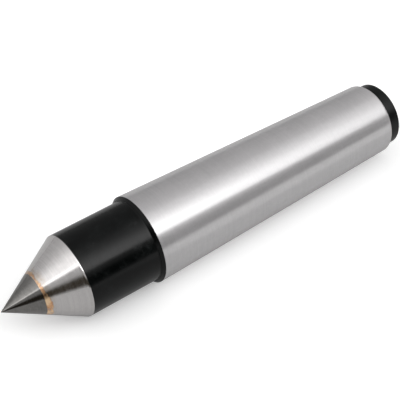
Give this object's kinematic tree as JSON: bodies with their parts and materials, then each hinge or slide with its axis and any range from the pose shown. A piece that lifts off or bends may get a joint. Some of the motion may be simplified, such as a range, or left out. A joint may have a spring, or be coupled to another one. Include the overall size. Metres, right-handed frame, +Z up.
{
  "type": "dead center",
  "caption": "Carbide-tipped dead center for a lathe: a ground 60 degree point with a brazed carbide insert, a black plain neck, a ground Morse taper shank and a short black tail.",
  "frame": {"origin": "centre of the Morse taper's gauge plane, 6.5 mm behind the shoulder's nominal face, where the taper measures 31.267 mm", "axes": "+X along the axis of revolution from the working point to the tail, so the point faces -X; +Z up with the part lying level; Y across"},
  "size_m": [0.16, 0.0316, 0.0316],
  "materials": {
    "hardened_steel": "cylindrically ground on the point and the taper, black oxide on the neck, the shoulder and the tail",
    "braze_copper": "copper filler, ground flush with the point",
    "cemented_carbide": "finely ground, darker than the steel"
  },
  "bodies": {
    "root": {"center_body": "hardened_steel", "braze_layer": "braze_copper", "carbide_insert": "cemented_carbide"}
  },
  "joints": []
}
